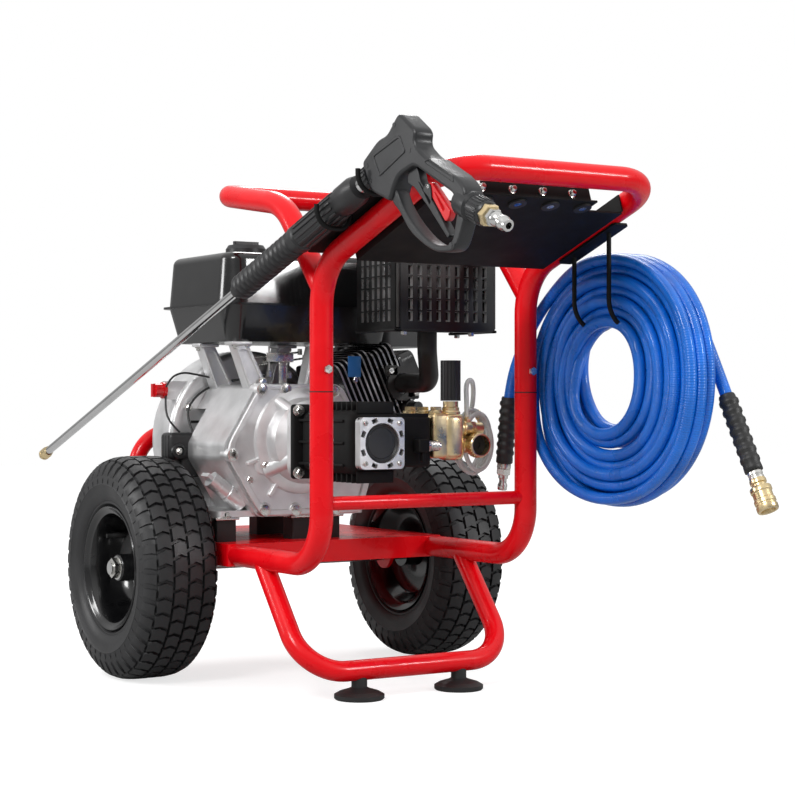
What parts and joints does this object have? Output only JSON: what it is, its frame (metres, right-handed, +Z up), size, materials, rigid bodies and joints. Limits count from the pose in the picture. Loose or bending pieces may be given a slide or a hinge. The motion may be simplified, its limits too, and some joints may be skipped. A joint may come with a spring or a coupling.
{
  "type": "gas pressure washer",
  "caption": "Engine-driven pressure washer on a two-wheeled tube frame, with pump, spray gun and lance, spray nozzles in a tray and a coiled high-pressure hose on hooks.",
  "frame": {"origin": "on the ground, under the middle of the machine with its gun and lance stowed", "axes": "+Z up; +Y from the front feet and front handle towards the wheels and the recoil starter; +X from the gun side towards the hose side"},
  "size_m": [0.623, 1.3678, 0.7556],
  "materials": {
    "tyre": "matt moulded rubber with a shallow tread",
    "red_frame": "glossy red powder coat",
    "black_paint": "glossy black paint",
    "cast_aluminium": "sand-cast aluminium, slightly rough",
    "machined_steel": "turned steel",
    "zinc_fastener": "zinc-plated steel",
    "stainless": "polished stainless tube",
    "brass": "bright machined brass",
    "black_plastic": "textured black plastic",
    "gloss_black_plastic": "smooth black plastic",
    "red_plastic": "smooth red plastic",
    "black_rubber": "matt black rubber",
    "blue_hose": "smooth blue rubber cover",
    "clear_tube": "clear vinyl tube",
    "nozzle_colours": "coloured spray tips",
    "heat_black": "heat-proof black paint",
    "exhaust_steel": "dull heat-stained steel",
    "white_ceramic": "spark plug ceramic and black boot"
  },
  "bodies": {
    "frame": {"air_cleaner": "black_plastic", "axle": "machined_steel", "base_frame": "red_frame", "carburettor": "cast_aluminium", "control_box": "black_plastic", "crankcase": "cast_aluminium", "crankcase_cover": "cast_aluminium", "cylinder_barrel": "cast_aluminium", "cylinder_head": "cast_aluminium", "detergent_coil": "clear_tube", "detergent_lead": "clear_tube", "engine_mounts": "black_rubber", "fan_shroud": "cast_aluminium", "fasteners": "zinc_fastener", "foot_pads": "black_rubber", "front_handle_loop": "red_frame", "fuel_tank": "black_paint", "hose_coil": "blue_hose", "hose_ends": "black_rubber", "hose_hook": "black_paint", "hose_leads": "blue_hose", "lance_hook": "black_paint", "lower_frame": "red_frame", "muffler": "exhaust_steel", "muffler_guard": "heat_black", "nozzle_grommets": "black_rubber", "nozzle_tray": "black_paint", "pump_adapter": "cast_aluminium", "pump_crankcase": "black_paint", "pump_end_frame": "cast_aluminium", "pump_manifold": "brass", "pump_ports": "brass", "rear_handle_loop": "red_frame", "rear_hoop": "red_frame", "recoil_cover": "black_paint", "spark_plug": "white_ceramic", "spray_nozzles": "nozzle_colours", "stand_tube": "red_frame", "valve_cover": "cast_aluminium"},
    "left_wheel": {"tyre_left": "tyre", "rim_left": "black_paint"},
    "right_wheel": {"tyre_right": "tyre", "rim_right": "black_paint"},
    "rotor": {"crankshaft": "machined_steel", "flywheel": "cast_aluminium"},
    "piston": {"piston": "cast_aluminium"},
    "fuel_cap": {"fuel_cap": "gloss_black_plastic"},
    "oil_dipstick": {"oil_dipstick": "cast_aluminium"},
    "engine_switch": {"engine_switch": "red_plastic"},
    "choke_lever": {"choke_lever": "black_plastic"},
    "throttle_lever": {"throttle_lever": "black_plastic"},
    "recoil_handle": {"recoil_handle": "gloss_black_plastic"},
    "unloader_knob": {"unloader_knob": "black_plastic"},
    "spray_gun": {"gun_body": "gloss_black_plastic", "gun_inlet": "brass", "lance_tube": "stainless", "lance_grip": "black_plastic"},
    "gun_trigger": {"gun_trigger": "gloss_black_plastic"},
    "safety_latch": {"safety_latch": "red_plastic"},
    "lance_nozzle": {"lance_nozzle": "brass"}
  },
  "joints": [
    {"name": "left_wheel_spin", "type": "hinge", "parent": "frame", "child": "left_wheel", "pos_m": [-0.2515, 0.205, 0.165], "axis": [1, 0, 0], "continuous": true},
    {"name": "right_wheel_spin", "type": "hinge", "parent": "frame", "child": "right_wheel", "pos_m": [0.2515, 0.205, 0.165], "axis": [1, 0, 0], "continuous": true},
    {"name": "crankshaft_spin", "type": "hinge", "parent": "frame", "child": "rotor", "pos_m": [-0.05, 0.165, 0.353], "axis": [0, 1, 0], "continuous": true},
    {"name": "piston_stroke", "type": "slide", "parent": "frame", "child": "piston", "axis": [0.9063, 0, 0.4226], "range_m": [-0.064, 0]},
    {"name": "fuel_cap_turn", "type": "hinge", "parent": "frame", "child": "fuel_cap", "pos_m": [-0.074, 0.205, 0.645], "axis": [0, 0, 1], "range_deg": [0, 90]},
    {"name": "dipstick_pull", "type": "slide", "parent": "frame", "child": "oil_dipstick", "axis": [-0.8, 0, 0.6], "range_m": [0, 0.06]},
    {"name": "engine_switch_turn", "type": "hinge", "parent": "frame", "child": "engine_switch", "pos_m": [-0.1885, 0.254, 0.428], "axis": [-1, 0, 0], "range_deg": [0, 60]},
    {"name": "choke_turn", "type": "hinge", "parent": "frame", "child": "choke_lever", "pos_m": [0.167, 0.248, 0.45], "axis": [1, 0, 0], "range_deg": [0, 50]},
    {"name": "throttle_turn", "type": "hinge", "parent": "frame", "child": "throttle_lever", "pos_m": [0.167, 0.248, 0.478], "axis": [1, 0, 0], "range_deg": [-40, 0]},
    {"name": "recoil_pull", "type": "slide", "parent": "frame", "child": "recoil_handle", "axis": [0, 0, 1], "range_m": [0, 0.9]},
    {"name": "unloader_turn", "type": "hinge", "parent": "frame", "child": "unloader_knob", "pos_m": [0.084, -0.124, 0.44], "axis": [0, 0, 1], "range_deg": [-180, 180]},
    {"name": "gun_lift", "type": "slide", "parent": "frame", "child": "spray_gun", "axis": [0, 0, 1], "range_m": [0, 0.12]},
    {"name": "trigger_squeeze", "type": "hinge", "parent": "spray_gun", "child": "gun_trigger", "pos_m": [-0.215, -0.492, 0.692], "axis": [1, 0, 0], "range_deg": [-9, 0], "stiffness_Nm_per_rad": 2},
    {"name": "latch_flip", "type": "hinge", "parent": "gun_trigger", "child": "safety_latch", "pos_m": [-0.215, -0.528, 0.663], "axis": [-1, 0, 0], "range_deg": [0, 12]},
    {"name": "lance_nozzle_pull", "type": "slide", "parent": "spray_gun", "child": "lance_nozzle", "axis": [0, 0.9455, -0.3256], "range_m": [0, 0.03]}
  ]
}
